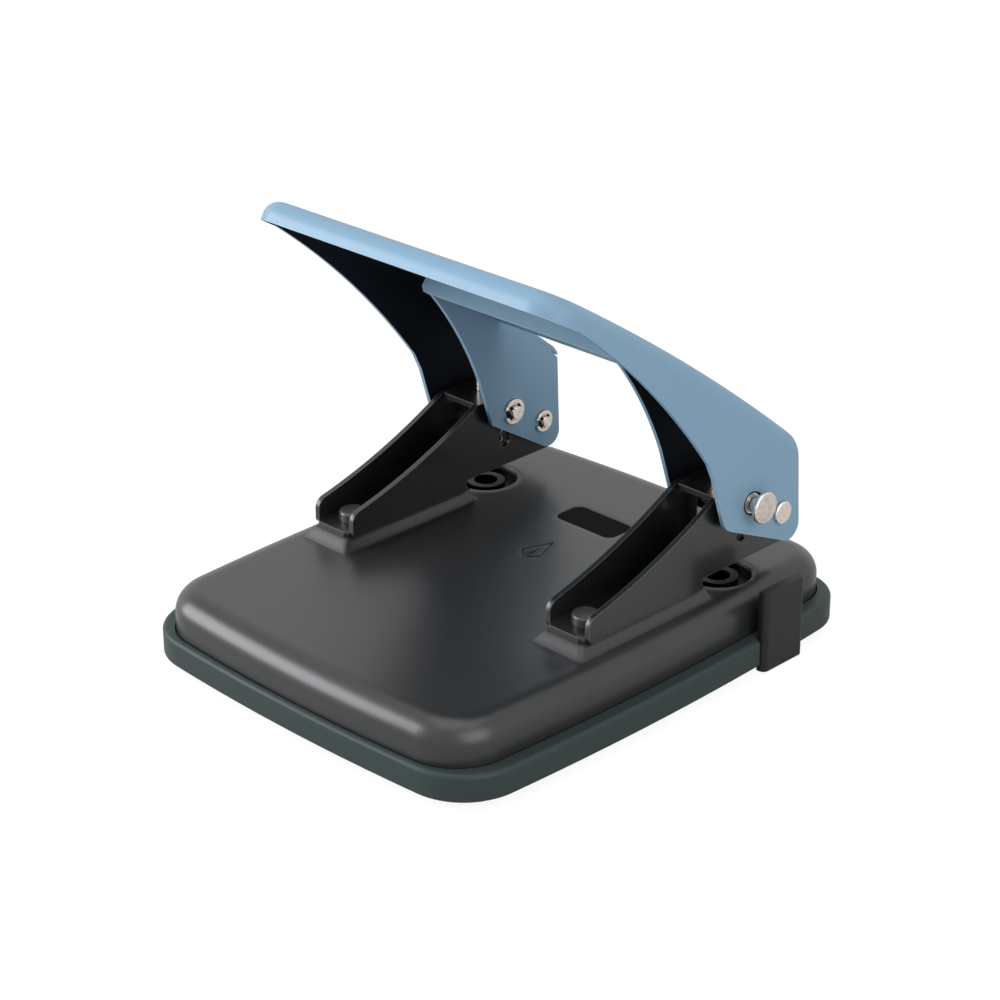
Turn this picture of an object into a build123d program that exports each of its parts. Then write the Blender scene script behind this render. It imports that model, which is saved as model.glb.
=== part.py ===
from build123d import *
import math
import os

os.makedirs("parts", exist_ok=True)

# Two-hole desk punch. X runs along the paper edge, +Y points to the paper side, +Z is up.
# The origin lies on the desk under the middle of the base. All lengths are millimetres.

# Holes and paper
hole_spacing = 80.0
hole_diameter = 6.0
hole_margin = 12.0
paper_throat = 5.7
punch_y = 35.5

# Base plan
base_half_width = 58.7
base_half_length = 69.5
side_bow = 2.8
end_bow = 2.6
bow_parts = 5
front_corner = 16.0
rear_corner = 13.5
cover_side_inset = 4.1
cover_end_inset = 1.8
cover_sheet = 1.2
cover_edge_radius = 6.0
cover_top = 19.3

# Chip tray
foot_height = 2.0
foot_radius = 6.0
foot_seat = 0.5
foot_x = 43.0
foot_y = 55.0
rim_top = 9.0
rim_edge_radius = 1.2
rim_base_radius = 0.7
tray_floor = 2.0
tray_gap = 0.3
tab_length = 10.0
tab_thickness = 1.5
tab_height = 5.0
tab_y = 12.0
tab_gap = 0.2

# Raised pads under the brackets
pad_height = 2.7
pad_foot_half = 8.2
pad_top_half = 5.9
pad_front = -21.7
pad_front_slope = 2.8
pad_round = 0.9

# Label place, arrow mark and die openings in the cover
label_width = 19.5
label_depth = 9.5
label_corner = 2.5
label_recess = 0.4
label_x = -0.9
label_y = 35.2
label_gap = 0.2
arrow_half = 3.3
arrow_length = 11.5
arrow_y = 14.0
arrow_line = 0.5
arrow_recess = 0.3
die_radius = 8.4
die_flange = 10.6
die_flange_thickness = 1.5
die_flat = 7.6
die_boss = 5.0
die_well = 2.6
die_length = 6.0
die_drop = 0.7
die_clearance = 0.1
chip_relief = 0.8

# Brackets
bracket_half = 6.94
bracket_sheet = 1.4
bracket_front = -17.8
bracket_front_height = 6.2
bracket_front_radius = 3.0
bracket_heel_radius = 1.3
floor_tongue = 1.0
bracket_step = 21.6
bracket_rear = 51.4
bridge_front = 25.9
bridge_top = 44.6
bridge_seam = 0.3
bracket_bow_share = 0.036
slot_side_gap = 0.2
slot_end_gap = 0.35
rivet_radius = 2.3
rivet_head = 3.5
rivet_head_height = 2.4
rivet_tail = 3.6
rivet_tail_height = 1.2
rivet_edge = 0.7
front_rivet_y = -11.5
rear_rivet_y = 11.5

# Lever
pivot_y = 46.5
pivot_z = 35.1
lever_reach = 80.0
lever_sheet = 1.2
lever_corner = 9.0
plate_parts = 6
plate_flatten_share = 0.02
lever_edge_radius = 4.0
arm_gap = 1.81
arm_cut_y = 31.0
yoke_gap = 0.05
flange_half = 34.5
flange_chamfer = 1.3
cheek_corner_rear = 3.8
cheek_corner_front = 5.0
lever_swing = math.radians(43.0)

# Pins, clips and washers
pivot_pin_radius = 1.45
pivot_head_radius = 2.95
pivot_head = 1.0
drive_pin_radius = 1.75
drive_pin_z = 41.1
drive_head_radius = 4.0
drive_head = 1.1
head_edge = 0.45
lock_proud = 4.3
lock_neck_radius = 2.0
lock_collar_radius = 2.6
lock_sink = 0.1
lock_travel = 1.9
lock_slot_gap = 0.35
pin_end = 2.0
clip_thickness = 0.7
clip_gap = 0.15
drive_clip_radius = 3.4
pivot_clip_radius = 2.9
clip_groove = 0.45
clip_mouth_share = 0.8
clip_web_share = 0.7
clip_lug_share = 0.28
washer_radius = 3.6
washer_gap = 0.12
running_fit = 0.05
lever_slot_side = 0.35
lever_slot_end = 0.3

# Punches and springs
punch_clearance = 0.05
punch_tip_recess = 0.6
punch_chamfer = 0.4
punch_top = 55.0
punch_tip_bite = 1.6
collar_radius = 4.9
collar_thickness = 0.8
spring_wire = 0.6
spring_radius = 4.1
spring_turns = 4

# Paper guide
guide_y = 38.2
guide_half = 7.4
guide_proud = 0.6
guide_thickness = 2.4
guide_bottom = 0.5
guide_top = 21.7
guide_corner = 1.6
bar_half = 5.5
bar_thickness = 1.6
bar_bottom = 1.1
bar_start = -55.0
bar_gap = 0.15
rail_width = 1.5
rail_lip = 1.2
rail_bottom = 0.5

# One overrun serves all cuts, and edges count as level within the band
overrun = 5.0
level_band = 0.05

hole_x = hole_spacing / 2
punch_radius = hole_diameter / 2
stop_y = punch_y - hole_margin
tray_top = foot_height + tray_floor
pad_top = cover_top + pad_height
floor_top = pad_top + bracket_sheet
guide_plate = cover_top + paper_throat
guide_plate_top = guide_plate + bracket_sheet
arm_inner = hole_x - bracket_half - arm_gap - lever_sheet
lever_half = hole_x + bracket_half + arm_gap + lever_sheet
lock_face = lever_half + lock_proud
lock_collar_length = arm_gap + lever_sheet - lock_sink - lock_travel - washer_gap
guide_face = base_half_width + guide_proud
pin_rise = drive_pin_z - pivot_z
pin_run = pivot_y - punch_y
punch_travel = pin_rise + pin_run * math.tan(lever_swing - math.atan2(pin_rise, pin_run))


def block(x_range, y_range, z_range):
    """A box between two X, two Y and two Z values."""
    size = [high - low for low, high in (x_range, y_range, z_range)]
    middle = [(high + low) / 2 for low, high in (x_range, y_range, z_range)]
    return Pos(*middle) * Box(*size)


def rod_x(radius, x_range, y, z):
    """A cylinder along X."""
    start, end = min(x_range), max(x_range)
    return Pos((start + end) / 2, y, z) * Rot(0, 90, 0) * Cylinder(radius, end - start)


def rod_z(radius, x, y, z_range):
    """A cylinder along Z."""
    start, end = z_range
    return Pos(x, y, (start + end) / 2) * Cylinder(radius, end - start)


def side_slab(profile, x_range):
    """A profile drawn in Y and Z, made solid between two X values."""
    start, end = min(x_range), max(x_range)
    # On Plane.YZ the drawing's own X is the part's Y, and its normal is +X.
    face = Plane.YZ * profile
    return Pos(start, 0, 0) * extrude(face, amount=end - start, dir=(1, 0, 0))


def bowed_side(start, end, bow):
    """A side between two corners that swells outwards by the bow, as short arcs along a parabola."""
    run, rise = end[0] - start[0], end[1] - start[1]
    length = math.hypot(run, rise)
    ways = [part / (2 * bow_parts) for part in range(2 * bow_parts + 1)]
    swells = [4 * way * (1 - way) * bow / length for way in ways]
    spots = [(start[0] + run * way + rise * swell, start[1] + rise * way - run * swell)
             for way, swell in zip(ways, swells)]
    return [ThreePointArc(*spots[part:part + 3]) for part in range(0, 2 * bow_parts, 2)]


def plan(inset_x, inset_y, grow=0.0):
    """The base outline seen from above: four bowed sides with rounded corners."""
    half_x = base_half_width - inset_x + grow
    half_y = base_half_length - inset_y + grow
    corner_x = half_x - side_bow
    corner_y = half_y - end_bow
    spots = [(corner_x, -corner_y), (corner_x, corner_y), (-corner_x, corner_y), (-corner_x, -corner_y)]
    sides = zip(spots, spots[1:] + spots[:1], (side_bow, end_bow, side_bow, end_bow))
    face = make_face([arc for start, end, bow in sides for arc in bowed_side(start, end, bow)])
    for row, radius in ((1, rear_corner), (-1, front_corner)):
        corners = [v for v in face.vertices() if abs(v.Y - row * corner_y) < level_band]
        face = fillet(corners, radius - inset_y + grow)
    return face


def slab(face, z_range):
    """A plan face made solid between two Z values."""
    return Pos(0, 0, z_range[0]) * extrude(face, amount=z_range[1] - z_range[0], dir=(0, 0, 1))


def top_edges(solid, height):
    """The edges of a solid that lie at one height."""
    flat = [e for e in solid.edges() if abs(e.bounding_box().size.Z) < level_band]
    return [e for e in flat if abs(e.center().Z - height) < level_band]


def pad(side, shrink=0.0, rounding=0.0):
    """The embossed pad that lifts a bracket off the cover, cut square at the paper stop."""
    foot = pad_foot_half - shrink
    top = pad_top_half - shrink
    rear = stop_y + pad_front_slope * 2
    low_length = rear - (pad_front + shrink)
    high_length = rear - (pad_front + shrink + pad_front_slope)
    low = Pos(0, rear - low_length / 2, cover_top - shrink) * Rectangle(2 * foot, low_length)
    high = Pos(0, rear - high_length / 2, pad_top - shrink) * Rectangle(2 * top, high_length)
    body = loft([low, high])
    if rounding:
        body = fillet([e for e in body.edges() if e.center().Z > cover_top + level_band], rounding)
    body -= block((-2 * foot, 2 * foot), (stop_y - shrink, rear + overrun), (0, pad_top + overrun))
    return Pos(side * hole_x, 0, 0) * body


def make_cover():
    """Pressed steel cover: an upturned pan with pads, die openings and a bare label place."""
    outer = slab(plan(cover_side_inset, cover_end_inset), (tray_top, cover_top))
    outer = fillet(top_edges(outer, cover_top), cover_edge_radius)
    side = cover_side_inset + cover_sheet
    end = cover_end_inset + cover_sheet
    inner = slab(plan(side, end), (tray_top - overrun, cover_top - cover_sheet))
    inner = fillet(top_edges(inner, cover_top - cover_sheet), cover_edge_radius - cover_sheet)
    cover = outer
    for side in (-1, 1):
        cover += pad(side, 0, pad_round)
    cover -= inner
    for side in (-1, 1):
        cover -= pad(side, cover_sheet)
        cover -= rod_z(die_radius, side * hole_x, punch_y, (tray_top, cover_top + overrun))
        for rivet_y in (front_rivet_y, rear_rivet_y):
            hole = rivet_radius + running_fit
            cover -= rod_z(hole, side * hole_x, rivet_y, (tray_top, pad_top + overrun))
    place = RectangleRounded(label_width, label_depth, label_corner)
    recess = slab(place, (cover_top - label_recess, cover_top + overrun))
    cover -= Pos(label_x, label_y, 0) * recess
    cover -= arrow_mark()
    return cover


def arrow_mark():
    """The outline of an arrow head pressed into the cover, pointing to the paper."""
    tail = -arrow_length / 2
    tip = arrow_length / 2
    notch = tail + arrow_half
    points = [(0, tip), (arrow_half, notch), (arrow_line, tail), (0, notch), (-arrow_line, tail)]
    points += [(-arrow_half, notch)]
    outer = make_face(Polyline(*points, close=True))
    ring = outer - offset(outer, -arrow_line, kind=Kind.INTERSECTION)
    cut = slab(ring, (cover_top - arrow_recess, cover_top + overrun))
    return Pos(0, arrow_y, 0) * cut


def make_label_plate():
    """A thin blank plate that fills the label place."""
    width = label_width - 2 * label_gap
    depth = label_depth - 2 * label_gap
    face = RectangleRounded(width, depth, label_corner - label_gap)
    return Pos(label_x, label_y, 0) * slab(face, (cover_top - label_recess, cover_top - arrow_recess / 2))


def make_die(side):
    """Hardened die: a stepped bush seated from below, with a raised land round its chip hole."""
    top = cover_top - die_drop
    well = cover_top - die_well
    seat = cover_top - cover_sheet
    body = rod_z(die_flange, 0, 0, (seat - die_flange_thickness, seat))
    body -= rod_z(die_radius - running_fit, 0, 0, (well, seat + overrun))
    body += rod_z(die_radius - running_fit, 0, 0, (top - die_length, well))
    body += rod_z(die_boss, 0, 0, (well - die_flange_thickness, top))
    bore = punch_radius + die_clearance
    body -= rod_z(bore, 0, 0, (top - die_length - overrun, top + overrun))
    relief = (top - die_length - overrun, top - die_length / 2)
    body -= rod_z(bore + chip_relief, 0, 0, relief)
    outer_flat = sorted((side * die_flat, side * (die_flange + overrun)))
    body -= block(outer_flat, (-die_flange, die_flange), (top - 2 * die_length, top + overrun))
    return Pos(side * hole_x, punch_y, 0) * body


def make_tray():
    """Chip tray: floor and rim in one, with clip tabs, foot seats and the guide channel."""
    outer = slab(plan(0, 0), (foot_height, rim_top))
    outer = fillet(top_edges(outer, rim_top), rim_edge_radius)
    outer = fillet(top_edges(outer, foot_height), rim_base_radius)
    pocket = plan(cover_side_inset, cover_end_inset, tray_gap)
    tray = outer - slab(pocket, (tray_top, rim_top + overrun))
    wall = base_half_width - cover_side_inset - cover_sheet - side_bow * (tab_y / base_half_length) ** 2
    tab_face = wall - tab_gap
    for side in (-1, 1):
        for row in (-1, 1):
            x_range = sorted((side * tab_face, side * (tab_face - tab_thickness)))
            y_range = (row * tab_y - tab_length / 2, row * tab_y + tab_length / 2)
            tray += block(x_range, y_range, (tray_top - tray_floor / 2, tray_top + tab_height))
            seat = (foot_height - overrun, foot_height + foot_seat)
            tray -= rod_z(foot_radius + running_fit, side * foot_x, row * foot_y, seat)
    reach = base_half_width - side_bow
    half = bar_half + bar_gap
    for row in (-1, 1):
        near = guide_y + row * half
        far = near + row * rail_width
        rail = block((-reach, reach), sorted((near, far)), (rail_bottom, tray_top - tray_floor / 2))
        lip_y = sorted((far, near - row * rail_lip))
        lip = block((-reach, reach), lip_y, (rail_bottom, bar_bottom - bar_gap))
        tray += rail
        tray += lip
    channel_top = bar_bottom + bar_thickness + bar_gap
    channel = (guide_y - half, guide_y + half)
    ends = (bar_start - 2 * bar_gap, base_half_width + overrun)
    tray -= block(ends, channel, (bar_bottom - bar_gap, channel_top))
    notch = (guide_y - guide_half - tray_gap, guide_y + guide_half + tray_gap)
    inner_face = guide_face - guide_thickness - bar_gap
    tray -= block((inner_face, guide_face + overrun), notch, (0, rim_top + overrun))
    return tray


def make_feet():
    """Four rubber feet, one solid each."""
    feet = []
    for side in (-1, 1):
        for row in (-1, 1):
            foot = rod_z(foot_radius, side * foot_x, row * foot_y, (0, foot_height + foot_seat))
            feet.append(chamfer(top_edges(foot, 0), foot_seat))
    return Compound(children=feet)


def make_guide_bar():
    """Flat bar that slides in the channel under the tray."""
    end = guide_face - guide_thickness / 2
    y_range = (guide_y - bar_half, guide_y + bar_half)
    return block((bar_start, end), y_range, (bar_bottom, bar_bottom + bar_thickness))


def make_guide_end():
    """Upright end of the paper guide, set on the bar."""
    y_range = (guide_y - guide_half, guide_y + guide_half)
    x_range = (guide_face - guide_thickness, guide_face)
    end = block(x_range, y_range, (guide_bottom, guide_top))
    upright = [e for e in end.edges() if e.bounding_box().size.Z > guide_thickness]
    outer = [e for e in upright if e.center().X > guide_face - guide_thickness / 2]
    end = fillet(outer, guide_corner)
    socket_y = (guide_y - bar_half - running_fit, guide_y + bar_half + running_fit)
    socket_z = (bar_bottom - running_fit, bar_bottom + bar_thickness + running_fit)
    return end - block((x_range[0] - overrun, guide_face - guide_thickness / 2), socket_y, socket_z)


def bracket_profile():
    """Side view of a bracket: low front end, bowed top edge, flat bridge, raised rear half."""
    front_low = (bracket_front, pad_top)
    front_high = (bracket_front, pad_top + bracket_front_height)
    bridge_low = (bridge_front, bridge_top)
    rise = bridge_top - front_high[1]
    run = bridge_front - bracket_front
    sag = bracket_bow_share * run
    middle = (bracket_front + run / 2 + sag * rise / run, front_high[1] + rise / 2 - sag)
    lines = [Line(front_low, front_high)]
    lines += [ThreePointArc(front_high, middle, bridge_low)]
    corners = [bridge_low, (bracket_rear, bridge_top), (bracket_rear, guide_plate)]
    corners += [(bracket_step, guide_plate), (bracket_step, pad_top), front_low]
    lines += [Polyline(*corners)]
    face = make_face(lines)
    for corner, radius in ((front_high, bracket_front_radius), (front_low, bracket_heel_radius)):
        nearest = min(face.vertices(), key=lambda v: abs(v.X - corner[0]) + abs(v.Y - corner[1]))
        face = fillet([nearest], radius)
    return face


def make_bracket(side):
    """Channel bracket: riveted floor, two walls, a guide plate over the throat and a bridge."""
    body = side_slab(bracket_profile(), (-bracket_half, bracket_half))
    inner = bracket_half - bracket_sheet
    web = bracket_step - bracket_sheet
    low = bracket_front - overrun
    high = bridge_top + overrun
    room = block((-inner, inner), (low, web), (floor_top, high))
    room += block((-inner, inner), (web - bracket_sheet, bridge_front), (guide_plate_top, high))
    under_bridge = (guide_plate_top, bridge_top - bracket_sheet)
    room += block((-inner, inner), (bridge_front - bracket_sheet, bracket_rear + overrun), under_bridge)
    body -= room
    tongue = block((-inner, inner), (low + overrun - floor_tongue, web), (pad_top, floor_top))
    ahead = [e for e in tongue.edges() if e.center().Y < bracket_front]
    body += fillet([e for e in ahead if e.bounding_box().size.Z > level_band], bracket_heel_radius)
    seam = (bridge_top - bracket_sheet, bridge_top + overrun)
    seam_y = (bridge_front, bracket_rear + overrun)
    body -= block((-inner, -inner + bridge_seam), seam_y, seam)
    slot_half = drive_pin_radius + slot_side_gap
    slot_low = drive_pin_z - punch_travel - slot_end_gap
    across = (-bracket_half - overrun, bracket_half + overrun)
    slot = block(across, (punch_y - slot_half, punch_y + slot_half), (slot_low, drive_pin_z))
    slot += rod_x(slot_half, across, punch_y, slot_low)
    slot += rod_x(slot_half, across, punch_y, drive_pin_z)
    body -= slot
    body -= rod_x(pivot_pin_radius + running_fit, across, pivot_y, pivot_z)
    body -= rod_z(punch_radius + punch_clearance, 0, punch_y, (guide_plate - overrun, bridge_top + overrun))
    for rivet_y in (front_rivet_y, rear_rivet_y):
        body -= rod_z(rivet_radius + running_fit, 0, rivet_y, (pad_top - overrun, floor_top + overrun))
    return Pos(side * hole_x, 0, 0) * body


def make_rivets(rivet_y):
    """One rivet per bracket, with a flat round head above and a tail under the pad."""
    rivets = []
    under = pad_top - cover_sheet
    for side in (-1, 1):
        head = rod_z(rivet_head, 0, 0, (floor_top, floor_top + rivet_head_height))
        head = fillet(top_edges(head, floor_top + rivet_head_height), rivet_edge)
        rivet = head + rod_z(rivet_radius, 0, 0, (under - rivet_tail_height, floor_top))
        rivet += rod_z(rivet_tail, 0, 0, (under - rivet_tail_height, under))
        rivets.append(Pos(side * hole_x, rivet_y, 0) * rivet)
    return Compound(children=rivets)


# Lever outlines in Y and Z from the pivot, as shares of the lever's reach
plate_rear_share = (0.05, 0.2438)
plate_middle_share = (-0.529, 0.676)
plate_front_share = (-0.965, 0.957)
lip_low_share = (-1.0, 0.892)
lip_back_share = (-0.890, 0.8275)
cheek_arc_share = (-0.586, 0.555)
cheek_knee_share = (-0.344, 0.266)
cheek_neck_share = (-0.315, 0.205)
cheek_low_front_share = (-0.261, 0.026)
cheek_low_rear_share = (0.093, -0.136)
cheek_high_rear_share = (0.069, 0.219)
yoke_flange_share = (-0.486, 0.566)
yoke_waist_share = (-0.355, 0.372)
yoke_neck_share = (-0.284, 0.2225)
yoke_low_front_share = (-0.2275, 0.05)
yoke_low_rear_share = (0.083, -0.14)
yoke_high_rear_share = (0.070, 0.200)


def at(share):
    """A lever outline point in the part's Y and Z."""
    return (pivot_y + share[0] * lever_reach, pivot_z + share[1] * lever_reach)


def turn_point(centre, radius, turn):
    """The point on a circle at a turn, in radians."""
    return (centre[0] + radius * math.cos(turn), centre[1] + radius * math.sin(turn))


def plate_arcs(inset, tail=0.0, trim=0.0):
    """The plate's side view as tangent arcs that flatten towards the front, moved inwards."""
    rear = at(plate_rear_share)
    arc = ThreePointArc(rear, at(plate_middle_share), at(plate_front_share))
    turn = math.atan2(rear[1] - arc.arc_center.Y, rear[0] - arc.arc_center.X)
    middle = (plate_parts - 1) / 2
    radii = [arc.radius * (1 + plate_flatten_share * (part - middle)) for part in range(plate_parts)]
    centre = turn_point(rear, -radii[0], turn)
    stretches = [arc.length / plate_parts] * plate_parts
    stretches[0] += tail
    stretches[-1] -= trim
    turn -= tail / radii[0]
    arcs = []
    for stretch, radius in zip(stretches, radii):
        turns = (turn, turn + stretch / radius / 2, turn + stretch / radius)
        if arcs:
            centre = turn_point(spot, -radius, turn)
        arcs.append(ThreePointArc(*[turn_point(centre, radius - inset, t) for t in turns]))
        turn = turns[-1]
        spot = turn_point(centre, radius, turn)
    return arcs


def plate_ends(arcs):
    """The rear and front end of the plate's side view, as points in Y and Z."""
    rear, front = arcs[0] @ 0, arcs[-1] @ 1
    return (rear.X, rear.Y), (front.X, front.Y)


def beyond(start, end):
    """The point that lies as far past the end as the start lies before it."""
    return (2 * end[0] - start[0], 2 * end[1] - start[1])


def lever_profile():
    """Side view that cuts the cheeks, the lip's lower edge and the rear end to shape."""
    above = beyond(at(cheek_high_rear_share), at(plate_rear_share))
    ahead = beyond(at(lip_back_share), at(lip_low_share))
    top = above[1] + lever_reach
    lines = [Polyline(above, (above[0], top), (ahead[0], top), ahead, at(lip_back_share))]
    lines += [ThreePointArc(at(lip_back_share), at(cheek_arc_share), at(cheek_knee_share))]
    corners = (cheek_knee_share, cheek_neck_share, cheek_low_front_share)
    corners += (cheek_low_rear_share, cheek_high_rear_share)
    lines += [Polyline(*[at(s) for s in corners], above)]
    face = make_face(lines)
    rounded = ((cheek_low_rear_share, cheek_corner_rear), (cheek_low_front_share, cheek_corner_front))
    for share, radius in rounded:
        y, z = at(share)
        corner = min(face.vertices(), key=lambda v: abs(v.X - y) + abs(v.Y - z))
        face = fillet([corner], radius)
    return face


def lever_room(inset, side_inset, corner, edge):
    """The space inside the lever shell, open below and behind."""
    arcs = plate_arcs(inset, 3 * overrun, inset)
    rear, front = plate_ends(arcs)
    lip_y, lip_z = at(lip_low_share)
    front_y, front_z = at(plate_front_share)
    length = math.hypot(lip_y - front_y, lip_z - front_z)
    down = ((lip_y - front_y) / length, (lip_z - front_z) / length)
    deep = 1.5 * lever_reach
    low_front = (front[0] + down[0] * deep, front[1] + down[1] * deep)
    behind = pivot_y + lever_reach
    above = rear[1] + overrun
    ends = [front, low_front, (behind, low_front[1]), (behind, above), (rear[0], above), rear]
    half = lever_half - side_inset
    body = side_slab(make_face(arcs + [Polyline(*ends)]), (-half, half))
    lip_face = min(body.faces(), key=lambda f: f.center().Y)
    sides = [e for e in lip_face.edges() if abs(e.center().X) > arm_inner]
    body = fillet(sides, corner)
    curved = [f for f in body.faces() if f.geom_type == GeomType.CYLINDER]
    around = [e for f in curved if abs(f.center().X) < level_band for e in f.edges()]
    rim = [e for e in around if abs(e.center().X) > arm_inner]
    return fillet(rim + [min(around, key=lambda e: e.center().Y)], edge)


def make_shell():
    """Lever shell: curved plate, side cheeks and front lip, cut out between the rear arms."""
    blank = side_slab(lever_profile(), (-lever_half, lever_half))
    skin = lever_room(0, 0, lever_corner, lever_edge_radius)
    shell = blank & skin
    edge = lever_edge_radius - lever_sheet
    shell -= lever_room(lever_sheet, lever_sheet, lever_corner - lever_sheet, edge)
    gap_z = (pivot_z - lever_reach, pivot_z + 2 * lever_reach)
    shell -= block((-arm_inner, arm_inner), (arm_cut_y, pivot_y + lever_reach), gap_z)
    for side in (-1, 1):
        across = (side * (arm_inner + bracket_half), side * (lever_half + overrun))
        shell -= rod_x(pivot_pin_radius + running_fit, across, pivot_y, pivot_z)
        radius = lock_collar_radius if side > 0 else drive_pin_radius
        gap = lock_slot_gap if side > 0 else lever_slot_side
        shell -= drive_slot(radius, gap, across)
    return shell


def drive_slot(radius, gap, across):
    """The radial slot in a cheek that lets the drive pin keep its straight path."""
    far = math.hypot(pin_run, pin_rise) + lever_slot_end
    near = pin_run - lever_slot_end
    angle = math.degrees(math.atan2(pin_rise, -pin_run))
    slot = rod_x(radius + gap, across, far, 0)
    slot += rod_x(radius + gap, across, near, 0)
    slot += block(sorted(across), (near, far), (-radius - gap, radius + gap))
    return Pos(0, pivot_y, pivot_z) * Rot(angle, 0, 0) * slot


def make_yoke():
    """Inner yoke: web under the plate, two inner cheeks and a cross flange."""
    plate = plate_arcs(lever_sheet + yoke_gap)
    rear, front = plate_ends(plate)
    low_plate = plate_arcs(2 * lever_sheet + yoke_gap)
    low_rear, low_front = plate_ends(low_plate)
    corners = [yoke_low_front_share, yoke_low_rear_share, yoke_high_rear_share]
    lines = plate + [Polyline(front, at(yoke_flange_share))]
    lines += [ThreePointArc(at(yoke_flange_share), at(yoke_waist_share), at(yoke_neck_share))]
    lines += [Polyline(at(yoke_neck_share), *[at(s) for s in corners], rear)]
    cheek = make_face(lines)
    y, z = at(yoke_low_rear_share)
    corner = min(cheek.vertices(), key=lambda v: abs(v.X - y) + abs(v.Y - z))
    cheek = fillet([corner], cheek_corner_rear)
    flange_y, flange_z = at(yoke_flange_share)
    slope = math.atan2(at(plate_middle_share)[1] - at(plate_rear_share)[1],
                       at(plate_rear_share)[0] - at(plate_middle_share)[0])
    back = (math.cos(slope), -math.sin(slope))
    up = (math.sin(slope), math.cos(slope))
    depth = lever_reach
    corner_low = (flange_y, flange_z)
    corner_high = (flange_y + up[0] * depth, flange_z + up[1] * depth)
    below = (flange_y - up[0] * depth, flange_z - up[1] * depth)
    rear_high = (corner_high[0] + back[0] * depth * 2, corner_high[1] + back[1] * depth * 2)
    rear_low = (below[0] + back[0] * depth * 2, below[1] + back[1] * depth * 2)
    behind_flange = make_face(Polyline(below, corner_high, rear_high, rear_low, close=True))
    cheek = cheek & behind_flange
    band = make_face(plate + low_plate + [Line(front, low_front), Line(low_rear, rear)])
    web = side_slab(band & behind_flange, (-arm_inner - lever_sheet, arm_inner + lever_sheet))
    behind_web = (arm_cut_y, pivot_y + lever_reach)
    web -= block((-lever_half, lever_half), behind_web, (0, pivot_z + 2 * lever_reach))
    thick = (back[0] * lever_sheet, back[1] * lever_sheet)
    strip_rear = [(y + thick[0], z + thick[1]) for y, z in (corner_high, corner_low)]
    strip = Polyline(corner_low, corner_high, *strip_rear, close=True)
    under = [front, (front[0], pivot_z - lever_reach), (rear[0], pivot_z - lever_reach), rear]
    below_plate = make_face(plate + [Polyline(*under)])
    flange_face = make_face(strip) & below_plate
    flange = side_slab(flange_face, (-flange_half, flange_half))
    ends = [e for e in flange.edges() if abs(e.bounding_box().size.X) < level_band
            and e.bounding_box().diagonal < 2 * lever_sheet]
    flange = chamfer([e for e in ends if e.center().Z < flange_z + lever_sheet], flange_chamfer)
    yoke = web + flange
    for side in (-1, 1):
        yoke += side_slab(cheek, (side * arm_inner, side * (arm_inner + lever_sheet)))
    for side in (-1, 1):
        across = (side * (arm_inner - overrun), side * (arm_inner + overrun))
        yoke -= rod_x(pivot_pin_radius + running_fit, across, pivot_y, pivot_z)
        yoke -= drive_slot(drive_pin_radius, lever_slot_side, across)
    return yoke


def clip_faces():
    """Inner and outer X of the retaining clips, measured from the mid-plane."""
    outer = arm_inner - clip_gap
    return (outer - clip_thickness, outer)


def grooved_pin(side, radius, x_range, y, z):
    """A pin shank with a turned groove for its clip."""
    shank = rod_x(radius, [side * x for x in x_range], y, z)
    low, high = clip_faces()
    groove = [side * (low - running_fit), side * (high + running_fit)]
    cut = rod_x(radius + overrun, groove, y, z) - rod_x(radius - clip_groove, groove, y, z)
    return shank - cut


def make_clip(side, outer, inner, y, z):
    """An open retaining ring with three inner lugs; its mouth faces the handle."""
    x_range = sorted(side * x for x in clip_faces())
    ring = rod_x(outer, x_range, y, z) - rod_x(outer * clip_web_share, x_range, y, z)
    lug = outer * clip_lug_share
    reach = outer - clip_thickness / 2
    ring += block(x_range, (y, y + reach), (z - lug, z + lug))
    ring += block(x_range, (y - lug, y + lug), (z - reach, z + reach))
    ring -= rod_x(inner, x_range, y, z)
    mouth = inner * clip_mouth_share
    return ring - block(x_range, (y - 2 * outer, y), (z - mouth, z + mouth))


def rounded_head(side, radius, x_range, y, z):
    """A pin head with a rounded outer edge."""
    head = rod_x(radius, [side * x for x in x_range], y, z)
    rim = [e for e in head.edges() if e.geom_type == GeomType.CIRCLE]
    outer = max(rim, key=lambda e: abs(e.center().X))
    return fillet([outer], head_edge)


def make_pivot_pin(side):
    """Pivot pin through both cheeks and both bracket walls."""
    end = arm_inner - pin_end
    pin = grooved_pin(side, pivot_pin_radius, (end, lever_half), pivot_y, pivot_z)
    head = (lever_half, lever_half + pivot_head)
    return pin + rounded_head(side, pivot_head_radius, head, pivot_y, pivot_z)


def make_drive_pin(side):
    """Drive pin that carries a punch, with a low head outside the cheek."""
    end = arm_inner - pin_end
    seat = lever_half + clip_gap
    pin = grooved_pin(side, drive_pin_radius, (end, seat), punch_y, drive_pin_z)
    return pin + rounded_head(side, drive_head_radius, (seat, seat + drive_head), punch_y, drive_pin_z)


def make_lock_pin(side):
    """Right drive pin with a push-in collar and a wide head, which holds the lever down."""
    end = arm_inner - pin_end
    head_in = lock_face - drive_head
    collar_in = lever_half - lock_sink - lock_collar_length
    pin = grooved_pin(side, drive_pin_radius, (end, collar_in), punch_y, drive_pin_z)
    collar = (side * collar_in, side * (collar_in + lock_collar_length))
    pin += rod_x(lock_collar_radius, collar, punch_y, drive_pin_z)
    pin += rod_x(lock_neck_radius, (collar[1], side * head_in), punch_y, drive_pin_z)
    return pin + rounded_head(side, drive_head_radius, (head_in, lock_face), punch_y, drive_pin_z)


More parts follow.
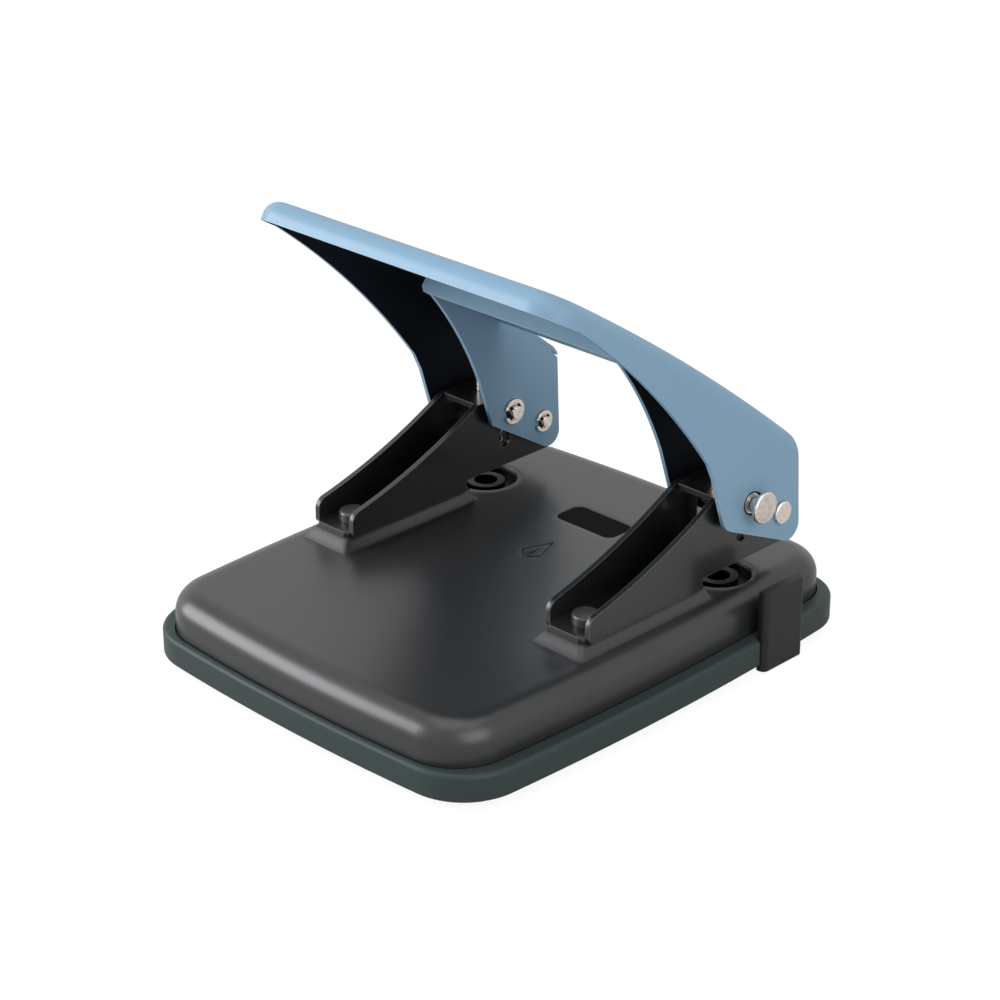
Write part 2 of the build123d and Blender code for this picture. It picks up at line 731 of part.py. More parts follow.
def make_washers():
    """Spacer washers on the pivot pins, between the cheeks and the bracket walls."""
    washers = []
    for side in (-1, 1):
        wall_out = hole_x + bracket_half
        wall_in = hole_x - bracket_half
        for low, high in ((wall_out, lever_half - lever_sheet), (arm_inner + lever_sheet, wall_in)):
            x_range = (side * (low + washer_gap), side * (high - washer_gap))
            ring = rod_x(washer_radius, x_range, pivot_y, pivot_z)
            washers.append(ring - rod_x(pivot_pin_radius + running_fit, x_range, pivot_y, pivot_z))
    return Compound(children=washers)


def make_punch(side):
    """Punch rod with its cross hole and a saddle-shaped cutting end."""
    tip = guide_plate + punch_tip_recess
    rod = rod_z(punch_radius, 0, 0, (tip, punch_top))
    rod = chamfer(top_edges(rod, punch_top), punch_chamfer)
    bite = hole_diameter
    depth = bite - punch_tip_bite
    rod -= rod_x(bite, (-hole_diameter, hole_diameter), 0, tip - depth)
    rod -= rod_x(drive_pin_radius + running_fit, (-hole_diameter, hole_diameter), 0, drive_pin_z)
    return Pos(side * hole_x, punch_y, 0) * rod


def make_spring_collar(side):
    """Collar on the punch that takes the top of the return spring."""
    top = drive_pin_z - drive_pin_radius - running_fit
    ring = rod_z(collar_radius, 0, 0, (top - collar_thickness, top))
    ring -= rod_z(punch_radius, 0, 0, (top - 2 * collar_thickness, top + collar_thickness))
    return Pos(side * hole_x, punch_y, 0) * ring


def helix_point(turn, low, rise):
    """Place and direction on the spring's centre line after a number of turns."""
    angle = 2 * math.pi * turn
    place = Vector(spring_radius * math.cos(angle), spring_radius * math.sin(angle), low + rise * turn)
    slope = Vector(-spring_radius * math.sin(angle), spring_radius * math.cos(angle), rise / (2 * math.pi))
    return place, slope.normalized()


def make_spring(side):
    """Return spring round a punch: one wire wound in even turns."""
    low = guide_plate_top + spring_wire / 2
    high = drive_pin_z - drive_pin_radius - running_fit - collar_thickness - spring_wire / 2
    rise = (high - low) / spring_turns
    edges = []
    quarters = 4 * spring_turns
    for quarter in range(quarters):
        start, start_way = helix_point(quarter / 4, low, rise)
        end, end_way = helix_point((quarter + 1) / 4, low, rise)
        chord = end - start
        both = start_way + end_way
        spread = 2 * (1 - start_way.dot(end_way))
        lean = chord.dot(both)
        reach = (-lean + math.sqrt(lean ** 2 + spread * chord.dot(chord))) / spread
        joint = (start + end + (start_way - end_way) * reach) / 2
        edges.append(Edge.make_tangent_arc(start, start_way, joint))
        edges.append(Edge.make_tangent_arc(joint, joint_way(start, start_way, joint), end))
    path = Wire(edges)
    start, start_way = helix_point(0, low, rise)
    section = Plane(origin=start, z_dir=start_way) * Circle(spring_wire / 2)
    spring = sweep(section, path=path)
    return Pos(side * hole_x, punch_y, 0) * spring


def joint_way(start, start_way, joint):
    """Direction at the end of an arc that leaves its start along a given way."""
    chord = (joint - start).normalized()
    return (chord * (2 * chord.dot(start_way)) - start_way).normalized()


def spring_gap():
    """Least gap between neighbouring turns of a spring, measured on points."""
    low = guide_plate_top + spring_wire / 2
    high = drive_pin_z - drive_pin_radius - running_fit - collar_thickness - spring_wire / 2
    rise = (high - low) / spring_turns
    steps = 60
    places = [helix_point(i / steps, low, rise)[0] for i in range(spring_turns * steps)]
    least = lever_reach
    for i, place in enumerate(places):
        for other in places[i + steps // 2:]:
            least = min(least, (other - place).length - spring_wire)
    return least


def write(name, shape):
    """Write one sub-part to its own file."""
    export_step(shape, f"parts/{name}.step")


write("base_cover", make_cover())
write("label_plate", make_label_plate())
write("chip_tray", make_tray())
write("rubber_feet", make_feet())
write("guide_bar", make_guide_bar())
write("guide_end", make_guide_end())
write("front_rivets", make_rivets(front_rivet_y))
write("rear_rivets", make_rivets(rear_rivet_y))
write("lever_shell", make_shell())
write("lever_yoke", make_yoke())
write("pivot_washers", make_washers())
for name, side in (("left", -1), ("right", 1)):
    write(f"bracket_{name}", make_bracket(side))
    write(f"die_{name}", make_die(side))
    write(f"punch_{name}", make_punch(side))
    write(f"spring_collar_{name}", make_spring_collar(side))
    write(f"return_spring_{name}", make_spring(side))
    write(f"pivot_pin_{name}", make_pivot_pin(side))
    clip_bore = pivot_pin_radius - clip_groove + running_fit
    write(f"pivot_clip_{name}", make_clip(side, pivot_clip_radius, clip_bore, pivot_y, pivot_z))
    clip_bore = drive_pin_radius - clip_groove + running_fit
    write(f"drive_clip_{name}", make_clip(side, drive_clip_radius, clip_bore, punch_y, drive_pin_z))
write("drive_pin_left", make_drive_pin(-1))
write("lock_pin_right", make_lock_pin(1))

print("Least gap between spring turns, mm:", round(spring_gap(), 2))
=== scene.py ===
import math

import bpy
from mathutils import Matrix, Vector


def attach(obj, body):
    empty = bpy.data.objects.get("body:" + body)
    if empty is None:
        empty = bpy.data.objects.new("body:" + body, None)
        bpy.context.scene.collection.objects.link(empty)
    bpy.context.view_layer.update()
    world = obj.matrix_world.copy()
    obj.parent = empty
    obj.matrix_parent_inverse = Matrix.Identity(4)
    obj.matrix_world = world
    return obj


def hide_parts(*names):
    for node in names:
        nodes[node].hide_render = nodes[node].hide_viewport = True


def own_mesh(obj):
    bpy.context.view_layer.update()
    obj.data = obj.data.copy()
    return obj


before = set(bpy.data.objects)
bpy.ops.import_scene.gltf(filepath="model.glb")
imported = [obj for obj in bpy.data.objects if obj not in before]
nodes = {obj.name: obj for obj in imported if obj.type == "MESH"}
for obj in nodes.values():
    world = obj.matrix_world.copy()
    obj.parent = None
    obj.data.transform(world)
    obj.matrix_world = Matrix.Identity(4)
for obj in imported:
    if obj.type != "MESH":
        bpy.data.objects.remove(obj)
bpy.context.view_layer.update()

MM = 0.001

# Camera, solved from the photograph
camera_azimuth = math.radians(44.888)
camera_elevation = math.radians(25.016)
camera_roll = math.radians(-0.221)
camera_distance = 732.291 * MM
camera_target = Vector((-53.386, 54.18, 2.0)) * MM
camera_lens = 96.593
camera_sensor = 36.0
camera_far_end = 20.0

# Finishes, as linear colours
blue_paint_colour = (0.245, 0.415, 0.575, 1)
# Painted highlight colour along the lever's edges
blue_edge_highlight_colour = (0.42, 0.60, 0.74, 1)
# Painted shade: near-black colour standing in for the shade on the lever's inner sides
inside_shade_colour = (0.032, 0.040, 0.053, 1)
cover_paint_colour = (0.0345, 0.0354, 0.0370, 1)
bracket_paint_colour = (0.0098, 0.0101, 0.0105, 1)
# Painted highlight colour along the bracket and rivet edges
bracket_edge_highlight_colour = (0.16, 0.175, 0.185, 1)
rivet_paint_colour = (0.070, 0.071, 0.072, 1)
tray_plastic_colour = (0.032, 0.052, 0.050, 1)
guide_plastic_colour = (0.016, 0.016, 0.017, 1)
label_plastic_colour = (0.006, 0.006, 0.007, 1)
foot_rubber_colour = (0.014, 0.014, 0.014, 1)
nickel_colour = (0.90, 0.81, 0.74, 1)
# Painted shade colour for the corners of the nickel parts
corner_shade_colour = (0.030, 0.022, 0.019, 1)
zinc_colour = (0.55, 0.56, 0.58, 1)
# Near-black for the dies, partly their own dark steel and partly painted shade in the die openings
dark_steel_and_shade_colour = (0.010, 0.010, 0.011, 1)
spring_steel_colour = (0.22, 0.22, 0.23, 1)

# Fine grain and painted edge highlights
small_edge = 0.2 * MM
cover_edge = 2.4 * MM
cloud_grain = 45.0
highlight_gain = 6.0
highlight_patch_grain = 260.0
highlight_open_reach = 1.5 * MM
highlight_shade_start = 0.72
highlight_shade_end = 0.92

# Studio
world_level = 0.27
world_gloss_level = 0.85
floor_size = 12.0
floor_colour = (0.62, 0.62, 0.62, 1)
floor_seen_colour = (0.2, 0.2, 0.2, 1)
floor_glow = 0.9
floor_gloss_glow = 0.15

# Lever shell and yoke, for the painted shade on their inner sides
shell_wall_start = 46.8 * MM
shell_wall_end = 48.4 * MM
shell_middle_y = -5.0 * MM
shell_middle_z = 60.0 * MM
yoke_wall_start = 20.0 * MM
yoke_wall_end = 20.5 * MM
inner_facing_start = -0.15
inner_facing_end = -0.30

# Softened edges
weld_reach = 0.001 * MM
sharp_angle = math.radians(50.0)
sheet_edge = 0.22 * MM
guide_edge = 0.3 * MM

# Return springs
spring_wire = 0.6 * MM
spring_radius = 4.1 * MM
spring_low = 26.4 * MM
spring_high = 38.5 * MM
spring_x = 40.0 * MM
spring_y = 35.5 * MM
spring_open_turns = 4
spring_end_rise = 0.66 * MM
wire_sides = 12
steps_per_turn = 32
spring_merge_reach = 0.005 * MM


def add_camera():
    """Camera at the photograph's place and view."""
    data = bpy.data.cameras.new("photo_camera")
    camera = bpy.data.objects.new("photo_camera", data)
    bpy.context.scene.collection.objects.link(camera)
    turn = Matrix.Rotation(camera_azimuth, 4, "Z")
    turn = turn @ Matrix.Rotation(math.pi / 2 - camera_elevation, 4, "X")
    turn = turn @ Matrix.Rotation(camera_roll, 4, "Z")
    back = turn.col[2].to_3d()
    camera.matrix_world = Matrix.Translation(camera_target + back * camera_distance) @ turn
    data.sensor_width = camera_sensor
    data.lens = camera_lens
    data.clip_end = camera_far_end
    bpy.context.scene.camera = camera


def set_values(node, values):
    """Sets constant values on a node's sockets by name."""
    for name, value in values.items():
        node.inputs[name].default_value = value


def new_material(name):
    """An empty node material with its Principled shader linked to its output."""
    material = bpy.data.materials.new(name)
    material.use_nodes = True
    tree = material.node_tree
    tree.nodes.clear()
    output = tree.nodes.new("ShaderNodeOutputMaterial")
    shader = tree.nodes.new("ShaderNodeBsdfPrincipled")
    tree.links.new(shader.outputs["BSDF"], output.inputs["Surface"])
    return material, tree, shader


def new_group(name, inputs, outputs):
    """A shader node group with named sockets, and its input and output nodes."""
    group = bpy.data.node_groups.new(name, "ShaderNodeTree")
    for label, kind, value in inputs:
        socket = group.interface.new_socket(label, in_out="INPUT", socket_type=kind)
        socket.default_value = value
    for label, kind in outputs:
        group.interface.new_socket(label, in_out="OUTPUT", socket_type=kind)
    start = group.nodes.new("NodeGroupInput")
    end = group.nodes.new("NodeGroupOutput")
    return group, start, end


def feed(tree, value, socket):
    """Links a socket, or sets a constant."""
    if isinstance(value, (int, float)):
        socket.default_value = value
    else:
        tree.links.new(value, socket)


def math_node(tree, operation, first, second):
    """A math node on two values or sockets."""
    node = tree.nodes.new("ShaderNodeMath")
    node.operation = operation
    feed(tree, first, node.inputs[0])
    feed(tree, second, node.inputs[1])
    return node.outputs["Value"]


def vector_node(tree, operation, first, second=None, scale=None):
    """A vector math node on sockets."""
    node = tree.nodes.new("ShaderNodeVectorMath")
    node.operation = operation
    tree.links.new(first, node.inputs[0])
    if second is not None:
        tree.links.new(second, node.inputs[1])
    if scale is not None:
        tree.links.new(scale, node.inputs["Scale"])
    return node.outputs["Value" if operation == "DOT_PRODUCT" else "Vector"]


def noise_node(tree, place, scale, detail):
    """Noise in object coordinates."""
    node = tree.nodes.new("ShaderNodeTexNoise")
    node.inputs["Detail"].default_value = detail
    tree.links.new(place.outputs["Object"], node.inputs["Vector"])
    feed(tree, scale, node.inputs["Scale"])
    return node.outputs["Fac"]


def range_node(tree, value, start, end, interpolation="LINEAR"):
    """0 to 1 while a value goes from start to end."""
    node = tree.nodes.new("ShaderNodeMapRange")
    node.interpolation_type = interpolation
    tree.links.new(value, node.inputs["Value"])
    feed(tree, start, node.inputs["From Min"])
    feed(tree, end, node.inputs["From Max"])
    return node.outputs["Result"]


def bevel_node(tree, radius, samples):
    """Normals rounded over sharp edges."""
    node = tree.nodes.new("ShaderNodeBevel")
    node.samples = samples
    tree.links.new(radius, node.inputs["Radius"])
    return node.outputs["Normal"]


def openness_node(tree, reach, samples):
    """1 on open surfaces, less in corners."""
    node = tree.nodes.new("ShaderNodeAmbientOcclusion")
    node.samples = samples
    feed(tree, reach, node.inputs["Distance"])
    return node.outputs["AO"]


def mix_colours(tree, mask, first, second):
    """First colour where the mask is 0, second where it is 1."""
    mix = tree.nodes.new("ShaderNodeMix")
    mix.data_type = "RGBA"
    for value, name in ((first, "A"), (second, "B")):
        if isinstance(value, tuple):
            mix.inputs[name].default_value = value
        else:
            tree.links.new(value, mix.inputs[name])
    tree.links.new(mask, mix.inputs["Factor"])
    return mix.outputs["Result"]


def place_group(tree, group, values):
    """A shared group in a material, with its values."""
    node = tree.nodes.new("ShaderNodeGroup")
    node.node_tree = group
    set_values(node, values)
    return node


def make_fine_grain():
    """Shared fine grain: speckled colour, uneven roughness and a small bump."""
    inputs = [("Color", "NodeSocketColor", (0.5, 0.5, 0.5, 1)),
              ("Grain per metre", "NodeSocketFloat", 2500.0),
              ("Colour change", "NodeSocketFloat", 0.1),
              ("Roughness", "NodeSocketFloat", 0.4),
              ("Roughness change", "NodeSocketFloat", 0.08),
              ("Bump", "NodeSocketFloat", 0.1),
              ("Bump height", "NodeSocketFloat", 0.02 * MM),
              ("Edge radius", "NodeSocketFloat", small_edge)]
    outputs = [("Color", "NodeSocketColor"), ("Roughness", "NodeSocketFloat"), ("Normal", "NodeSocketVector")]
    group, start, end = new_group("fine_grain", inputs, outputs)
    place = group.nodes.new("ShaderNodeTexCoord")
    speck = noise_node(group, place, start.outputs["Grain per metre"], 3.0)
    cloud = noise_node(group, place, cloud_grain, 4.0)
    both = math_node(group, "ADD", speck, cloud)
    centred = math_node(group, "SUBTRACT", both, 1.0)
    swing = math_node(group, "MULTIPLY", centred, start.outputs["Colour change"])
    gain = math_node(group, "ADD", swing, 1.0)
    tint = vector_node(group, "SCALE", start.outputs["Color"], scale=gain)
    group.links.new(tint, end.inputs["Color"])
    rough_swing = math_node(group, "MULTIPLY", centred, start.outputs["Roughness change"])
    rough = math_node(group, "ADD", rough_swing, start.outputs["Roughness"])
    group.links.new(rough, end.inputs["Roughness"])
    bump = group.nodes.new("ShaderNodeBump")
    group.links.new(bevel_node(group, start.outputs["Edge radius"], 6), bump.inputs["Normal"])
    group.links.new(start.outputs["Bump"], bump.inputs["Strength"])
    group.links.new(start.outputs["Bump height"], bump.inputs["Distance"])
    group.links.new(speck, bump.inputs["Height"])
    group.links.new(bump.outputs["Normal"], end.inputs["Normal"])
    return group


def make_edge_highlight():
    """Shared painted edge highlight: a mask that is 1 on outer edges, broken up by noise, and 0 in inner
    corners.
    """
    inputs = [("Width", "NodeSocketFloat", 0.4 * MM), ("Amount", "NodeSocketFloat", 0.5)]
    group, start, end = new_group("edge_highlight", inputs, [("Mask", "NodeSocketFloat")])
    surface = group.nodes.new("ShaderNodeNewGeometry")
    rounded = bevel_node(group, start.outputs["Width"], 4)
    alike = vector_node(group, "DOT_PRODUCT", rounded, surface.outputs["Normal"])
    bend = math_node(group, "SUBTRACT", 1.0, alike)
    bend = math_node(group, "MULTIPLY", bend, highlight_gain)
    place = group.nodes.new("ShaderNodeTexCoord")
    broken = math_node(group, "MULTIPLY", bend, noise_node(group, place, highlight_patch_grain, 3.0))
    openness = openness_node(group, highlight_open_reach, 6)
    outer = range_node(group, openness, highlight_shade_start, highlight_shade_end)
    broken = math_node(group, "MULTIPLY", broken, outer)
    mask = math_node(group, "MULTIPLY", broken, start.outputs["Amount"])
    mask = math_node(group, "MINIMUM", mask, 1.0)
    group.links.new(mask, end.inputs["Mask"])
    return group


def make_corner_shade():
    """Shared painted shade: a mask that is 1 deep in corners and between pieces that touch."""
    inputs = [("Reach", "NodeSocketFloat", 1.0 * MM), ("Amount", "NodeSocketFloat", 1.0)]
    group, start, end = new_group("corner_shade", inputs, [("Mask", "NodeSocketFloat")])
    openness = openness_node(group, start.outputs["Reach"], 8)
    hidden = math_node(group, "SUBTRACT", 1.0, openness)
    mask = math_node(group, "MULTIPLY", hidden, start.outputs["Amount"])
    mask = math_node(group, "MINIMUM", mask, 1.0)
    group.links.new(mask, end.inputs["Mask"])
    return group


def make_inner_shade_mask():
    """Shared mask that is 1 on the inner side of a bent sheet shell, where shade is painted, from where a
    point lies and faces.

    Near the side walls outward is away from the middle plane; elsewhere it is away from a line along X.
    """
    inputs = [("Wall start", "NodeSocketFloat", shell_wall_start),
              ("Wall end", "NodeSocketFloat", shell_wall_end),
              ("Middle Y", "NodeSocketFloat", shell_middle_y),
              ("Middle Z", "NodeSocketFloat", shell_middle_z),
              ("Outward", "NodeSocketFloat", 1.0)]
    group, start, end = new_group("inner_shade_mask", inputs, [("Mask", "NodeSocketFloat")])
    place = group.nodes.new("ShaderNodeTexCoord")
    split = group.nodes.new("ShaderNodeSeparateXYZ")
    group.links.new(place.outputs["Object"], split.inputs["Vector"])
    across = math_node(group, "ABSOLUTE", split.outputs["X"], 0.0)
    side = math_node(group, "SIGN", split.outputs["X"], 0.0)
    wall = range_node(group, across, start.outputs["Wall start"], start.outputs["Wall end"], "SMOOTHSTEP")
    sideways = group.nodes.new("ShaderNodeCombineXYZ")
    group.links.new(math_node(group, "MULTIPLY", side, wall), sideways.inputs["X"])
    around = group.nodes.new("ShaderNodeCombineXYZ")
    for axis in ("Y", "Z"):
        off = math_node(group, "SUBTRACT", split.outputs[axis], start.outputs["Middle " + axis])
        group.links.new(off, around.inputs[axis])
    unit = vector_node(group, "NORMALIZE", around.outputs["Vector"])
    faded = vector_node(group, "SCALE", unit, scale=math_node(group, "SUBTRACT", 1.0, wall))
    outward = vector_node(group, "ADD", faded, sideways.outputs["Vector"])
    facing = vector_node(group, "DOT_PRODUCT", place.outputs["Normal"], outward)
    turned = math_node(group, "MULTIPLY", facing, start.outputs["Outward"])
    inner = range_node(group, turned, inner_facing_start, inner_facing_end)
    group.links.new(inner, end.inputs["Mask"])
    return group


fine_grain = make_fine_grain()
edge_highlight = make_edge_highlight()
corner_shade = make_corner_shade()
inner_shade_mask = make_inner_shade_mask()


def grained(tree, shader, colour, grain, colour_change, roughness, roughness_change, bump, edge=small_edge):
    """Places the fine grain group in a material and links it to the shader."""
    node = place_group(tree, fine_grain, {
        "Color": colour, "Grain per metre": grain, "Colour change": colour_change, "Roughness": roughness,
        "Roughness change": roughness_change, "Bump": bump, "Edge radius": edge})
    tree.links.new(node.outputs["Color"], shader.inputs["Base Color"])
    tree.links.new(node.outputs["Roughness"], shader.inputs["Roughness"])
    tree.links.new(node.outputs["Normal"], shader.inputs["Normal"])
    return node


def add_edge_highlight(tree, shader, grain_node, highlight_colour, width, amount):
    """Paints a brighter colour along edges as a painted highlight."""
    highlight = place_group(tree, edge_highlight, {"Width": width, "Amount": amount})
    colour = mix_colours(tree, highlight.outputs["Mask"], grain_node.outputs["Color"], highlight_colour)
    tree.links.new(colour, shader.inputs["Base Color"])
    return colour


def finish(name, grain, values=None, highlight=None):
    """A material of the fine grain with constant shader values, and painted edge highlights where they are
    asked for.
    """
    material, tree, shader = new_material(name)
    node = grained(tree, shader, **grain)
    if highlight:
        add_edge_highlight(tree, shader, node, **highlight)
    set_values(shader, values or {})
    return material


def blue_paint_and_shade(name, wall_start, wall_end, outward):
    """Satin blue paint of the lever, with painted highlights along its edges and near-black painted shade
    between its outer and inner cheeks.
    """
    material, tree, shader = new_material(name)
    node = grained(tree, shader, blue_paint_colour, grain=3500.0, colour_change=0.05, roughness=0.38,
                   roughness_change=0.06, bump=0.05)
    # Painted highlight along the lever's edges
    outside = add_edge_highlight(tree, shader, node, blue_edge_highlight_colour, width=0.5 * MM, amount=0.9)
    side = place_group(tree, inner_shade_mask, {"Wall start": wall_start, "Wall end": wall_end, "Outward": outward})
    mask = side.outputs["Mask"]
    # Painted shade: the inner side takes the near-black shade colour
    tree.links.new(mix_colours(tree, mask, outside, inside_shade_colour), shader.inputs["Base Color"])
    # The painted-shade inner side is metallic, because that takes away its pale gloss
    tree.links.new(mask, shader.inputs["Metallic"])
    coat = math_node(tree, "SUBTRACT", 1.0, mask)
    coat = math_node(tree, "MULTIPLY", coat, 0.06)
    tree.links.new(coat, shader.inputs["Coat Weight"])
    set_values(shader, {"Coat Roughness": 0.3, "Specular IOR Level": 0.35})
    dull = math_node(tree, "MULTIPLY", mask, 0.2)
    dull = math_node(tree, "ADD", dull, node.outputs["Roughness"])
    tree.links.new(dull, shader.inputs["Roughness"])
    return material


def metal(name, colour, roughness, grain, colour_change):
    """A bare or plated metal."""
    recipe = dict(colour=colour, grain=grain, colour_change=colour_change, roughness=roughness,
                  roughness_change=0.08, bump=0.05)
    return finish(name, recipe, {"Metallic": 1.0})


def nickel_plate():
    """Warm nickel plate with an uneven surface, painted mottled reflections and painted shade in its corners.
    """
    material, tree, shader = new_material("nickel_plate")
    # The large colour change paints mottled reflections into the plate's colour
    node = grained(tree, shader, nickel_colour, grain=1300.0, colour_change=0.9, roughness=0.17,
                   roughness_change=0.10, bump=0.9)
    node.inputs["Bump height"].default_value = 0.05 * MM
    # Painted shade darkens corners and the places where pieces touch
    dark_corners = place_group(tree, corner_shade, {"Reach": 1.0 * MM, "Amount": 1.3})
    colour = mix_colours(tree, dark_corners.outputs["Mask"], node.outputs["Color"], corner_shade_colour)
    tree.links.new(colour, shader.inputs["Base Color"])
    shader.inputs["Metallic"].default_value = 1.0
    return material


def dress(material, *names):
    """Gives CAD nodes their material."""
    for name in names:
        slots = nodes[name].material_slots
        if slots:
            for slot in slots:
                slot.material = material
        else:
            nodes[name].data.materials.append(material)


def soften_edges(width, *names):
    """Merges a CAD node's loose triangles and rounds its sharp edges a little."""
    for name in names:
        item = nodes[name]
        weld = item.modifiers.new("weld", "WELD")
        weld.merge_threshold = weld_reach
        bevel = item.modifiers.new("soft_edges", "BEVEL")
        bevel.width = width
        bevel.segments = 2
        bevel.limit_method = "ANGLE"
        bevel.angle_limit = sharp_angle
        level = item.modifiers.new("even_faces", "WEIGHTED_NORMAL")
        level.mode = "FACE_AREA"
        level.weight = 50


def deselect():
    """Nothing selected, in object mode."""
    if bpy.context.mode != "OBJECT":
        bpy.ops.object.mode_set(mode="OBJECT")
    bpy.ops.object.select_all(action="DESELECT")


def wind(low, rise, turns):
    """One stretch of spring wire: a round section screwed round the middle axis."""
    deselect()
    bpy.ops.mesh.primitive_circle_add(vertices=wire_sides, radius=spring_wire / 2,
                                      location=(spring_radius, 0, low), rotation=(math.pi / 2, 0, 0))
    bpy.ops.object.transform_apply(location=True, rotation=True, scale=True)
    piece = bpy.context.active_object
    turn = piece.modifiers.new("wind", "SCREW")
    turn.axis = "Z"
    turn.angle = 2 * math.pi
    turn.screw_offset = rise
    turn.iterations = turns
    turn.steps = steps_per_turn
    turn.render_steps = steps_per_turn
    turn.use_merge_vertices = False
    bpy.ops.object.modifier_apply(modifier=turn.name)
    return piece


def make_spring(name, side):
    """Return spring round a punch: open turns with one closed turn at each end."""
    first = spring_low + spring_wire / 2
    last = spring_high - spring_wire / 2
    open_rise = (last - first - 2 * spring_end_rise) / spring_open_turns
    stretches = [wind(first, spring_end_rise, 1),
                 wind(first + spring_end_rise, open_rise, spring_open_turns),
                 wind(last - spring_end_rise, spring_end_rise, 1)]
    deselect()
    for stretch in stretches:
        stretch.select_set(True)
    bpy.context.view_layer.objects.active = stretches[0]
    bpy.ops.object.join()
    spring = bpy.context.active_object
    spring.name = name
    spring.data.name = name
    bpy.ops.object.mode_set(mode="EDIT")
    bpy.ops.mesh.select_all(action="SELECT")
    bpy.ops.mesh.remove_doubles(threshold=spring_merge_reach)
    bpy.ops.mesh.select_all(action="DESELECT")
    bpy.ops.mesh.select_mode(type="EDGE")
    bpy.ops.mesh.select_non_manifold()
    bpy.ops.mesh.fill_holes(sides=0)
    bpy.ops.mesh.select_all(action="SELECT")
    bpy.ops.mesh.normals_make_consistent(inside=False)
    bpy.ops.transform.translate(value=(side * spring_x, spring_y, 0))
    bpy.ops.object.mode_set(mode="OBJECT")
    bpy.ops.object.shade_smooth_by_angle(angle=sharp_angle)
    spring.data.materials.append(spring_steel)
    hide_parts(name.replace("coil", "spring"))
    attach(spring, "frame")
    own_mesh(spring)


def add_area_light(name, place, aim, size, power, colour):
    """A soft rectangular lamp that faces a point."""
    data = bpy.data.lights.new(name, "AREA")
    data.shape = "RECTANGLE"
    data.size, data.size_y = size
    data.energy = power
    data.color = colour
    lamp = bpy.data.objects.new(name, data)
    bpy.context.scene.collection.objects.link(lamp)
    way = Vector(aim) - Vector(place)
    turn = way.to_track_quat("-Z", "Y").to_matrix().to_4x4()
    lamp.matrix_world = Matrix.Translation(place) @ turn


def seen_rays(tree):
    """1 for camera and transmission rays, and the light path node it comes from."""
    path = tree.nodes.new("ShaderNodeLightPath")
    seen = math_node(tree, "MAXIMUM", path.outputs["Is Camera Ray"], path.outputs["Is Transmission Ray"])
    return seen, path


def add_floor():
    """Pale floor that looks white to the camera and in gloss, and keeps a soft shadow.

    It follows the tray, which stands on it when the punch is lifted off its tray.
    """
    deselect()
    bpy.ops.mesh.primitive_plane_add(size=floor_size, location=(0, 0, 0))
    floor = bpy.context.active_object
    floor.name = "floor"
    material, tree, shader = new_material("floor_white")
    seen, path = seen_rays(tree)
    tree.links.new(mix_colours(tree, seen, floor_colour, floor_seen_colour), shader.inputs["Base Color"])
    set_values(shader, {"Roughness": 1.0, "Specular IOR Level": 0.0, "Emission Color": (1, 1, 1, 1)})
    bright = math_node(tree, "MULTIPLY", seen, floor_glow)
    gloss = math_node(tree, "MULTIPLY", path.outputs["Is Glossy Ray"], floor_gloss_glow)
    glow = math_node(tree, "MAXIMUM", bright, gloss)
    tree.links.new(glow, shader.inputs["Emission Strength"])
    floor.data.materials.append(material)
    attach(floor, "chip_tray")


def add_world():
    """White surroundings for the camera and for gloss, and a plain level of light."""
    world = bpy.data.worlds.new("studio")
    bpy.context.scene.world = world
    world.use_nodes = True
    tree = world.node_tree
    tree.nodes.clear()
    output = tree.nodes.new("ShaderNodeOutputWorld")
    back = tree.nodes.new("ShaderNodeBackground")
    back.inputs["Color"].default_value = (1, 1, 1, 1)
    seen, path = seen_rays(tree)
    glossy = math_node(tree, "MULTIPLY", path.outputs["Is Glossy Ray"], world_gloss_level)
    rest = math_node(tree, "MAXIMUM", seen, glossy)
    level = math_node(tree, "MAXIMUM", rest, world_level)
    tree.links.new(level, back.inputs["Strength"])
    tree.links.new(back.outputs["Background"], output.inputs["Surface"])


bpy.context.scene.view_settings.view_transform = "Standard"
add_camera()
add_world()
add_floor()
add_area_light("key_above", place=(0.05, -0.05, 0.90), aim=(0, 0, 0.03), size=(0.9, 0.8), power=2.4,
               colour=(1, 1, 1))
add_area_light("front_left", place=(-0.92, -0.78, 0.44), aim=(0, 0, 0.04), size=(1.0, 0.75), power=14.0,
               colour=(0.97, 0.985, 1.0))
add_area_light("right", place=(0.95, -0.20, 0.50), aim=(0, 0, 0.05), size=(0.9, 0.8), power=4.6,
               colour=(1.0, 0.98, 0.96))

cover_paint = finish(
    "cover_paint",
    dict(colour=cover_paint_colour, grain=5200.0, colour_change=0.30, roughness=0.34, roughness_change=0.05,
         bump=0.06, edge=cover_edge),
    {"Metallic": 0.3, "Coat Weight": 0.35, "Coat Roughness": 0.24})
bracket_paint = finish(
    "bracket_paint",
    dict(colour=bracket_paint_colour, grain=3600.0, colour_change=0.15, roughness=0.38, roughness_change=0.07,
         bump=0.08),
    {"Coat Weight": 0.5, "Coat Roughness": 0.14},
    # Painted highlight along the bracket edges
    dict(highlight_colour=bracket_edge_highlight_colour, width=0.4 * MM, amount=0.9))
rivet_paint = finish(
    "rivet_paint",
    dict(colour=rivet_paint_colour, grain=3000.0, colour_change=0.2, roughness=0.26, roughness_change=0.06,
         bump=0.06),
    {"Coat Weight": 0.3, "Coat Roughness": 0.15},
    # Painted highlight along the rivet edges
    dict(highlight_colour=bracket_edge_highlight_colour, width=0.5 * MM, amount=1.0))
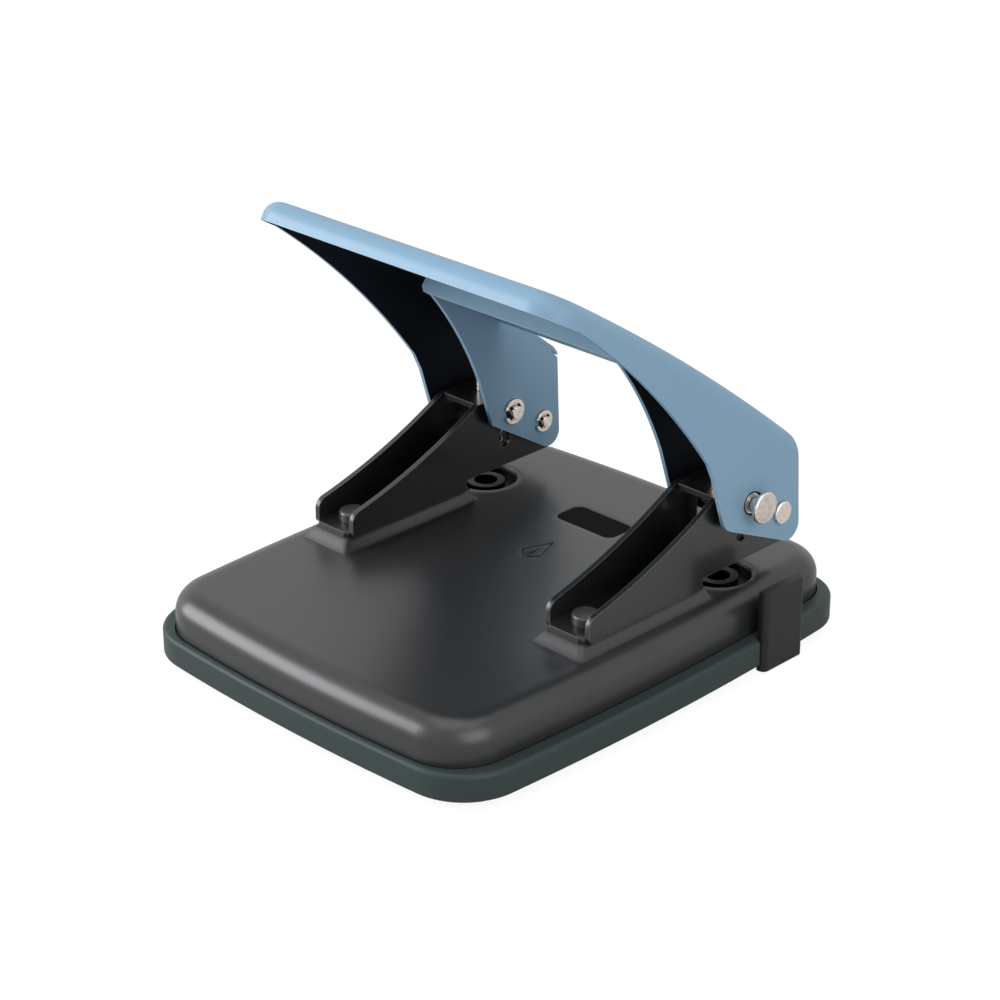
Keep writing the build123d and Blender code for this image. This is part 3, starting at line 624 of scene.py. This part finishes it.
tray_plastic = finish(
    "tray_plastic",
    dict(colour=tray_plastic_colour, grain=2200.0, colour_change=0.12, roughness=0.46, roughness_change=0.08,
         bump=0.12),
    {"Specular IOR Level": 0.3})
guide_plastic = finish(
    "guide_plastic",
    dict(colour=guide_plastic_colour, grain=2600.0, colour_change=0.12, roughness=0.45, roughness_change=0.08,
         bump=0.14),
    {"Specular IOR Level": 0.35})
label_plastic = finish(
    "label_plastic",
    dict(colour=label_plastic_colour, grain=3000.0, colour_change=0.1, roughness=0.22, roughness_change=0.04,
         bump=0.03),
    {"Specular IOR Level": 0.01})
foot_rubber = finish(
    "foot_rubber",
    dict(colour=foot_rubber_colour, grain=1800.0, colour_change=0.2, roughness=0.8, roughness_change=0.1,
         bump=0.2))
spring_steel = metal("spring_steel", spring_steel_colour, roughness=0.28, grain=1800.0, colour_change=0.1)
zinc_plate = metal("zinc_plate", zinc_colour, roughness=0.32, grain=1500.0, colour_change=0.12)
# Dies near-black: partly dark steel, partly painted shade in the die openings
die_steel_and_shade = metal("die_steel_and_shade", dark_steel_and_shade_colour, roughness=0.35, grain=1500.0, colour_change=0.15)

dress(blue_paint_and_shade("shell_paint_and_shade", shell_wall_start, shell_wall_end, outward=1.0), "lever_shell")
dress(blue_paint_and_shade("yoke_paint_and_shade", yoke_wall_start, yoke_wall_end, outward=-1.0), "lever_yoke")
dress(cover_paint, "base_cover")
dress(bracket_paint, "bracket_left", "bracket_right")
dress(rivet_paint, "front_rivets", "rear_rivets")
dress(tray_plastic, "chip_tray")
dress(guide_plastic, "guide_end")
dress(label_plastic, "label_plate")
dress(foot_rubber, "rubber_feet")
dress(zinc_plate, "guide_bar")
dress(die_steel_and_shade, "die_left", "die_right")
dress(spring_steel, "return_spring_left", "return_spring_right")
dress(nickel_plate(), "pivot_pin_left", "pivot_pin_right", "pivot_clip_left", "pivot_clip_right",
      "drive_clip_left", "drive_clip_right", "drive_pin_left", "lock_pin_right", "pivot_washers",
      "punch_left", "punch_right", "spring_collar_left", "spring_collar_right")
soften_edges(sheet_edge, "lever_shell", "lever_yoke", "bracket_left", "bracket_right")
soften_edges(guide_edge, "guide_end")
make_spring("return_coil_left", -1)
make_spring("return_coil_right", 1)
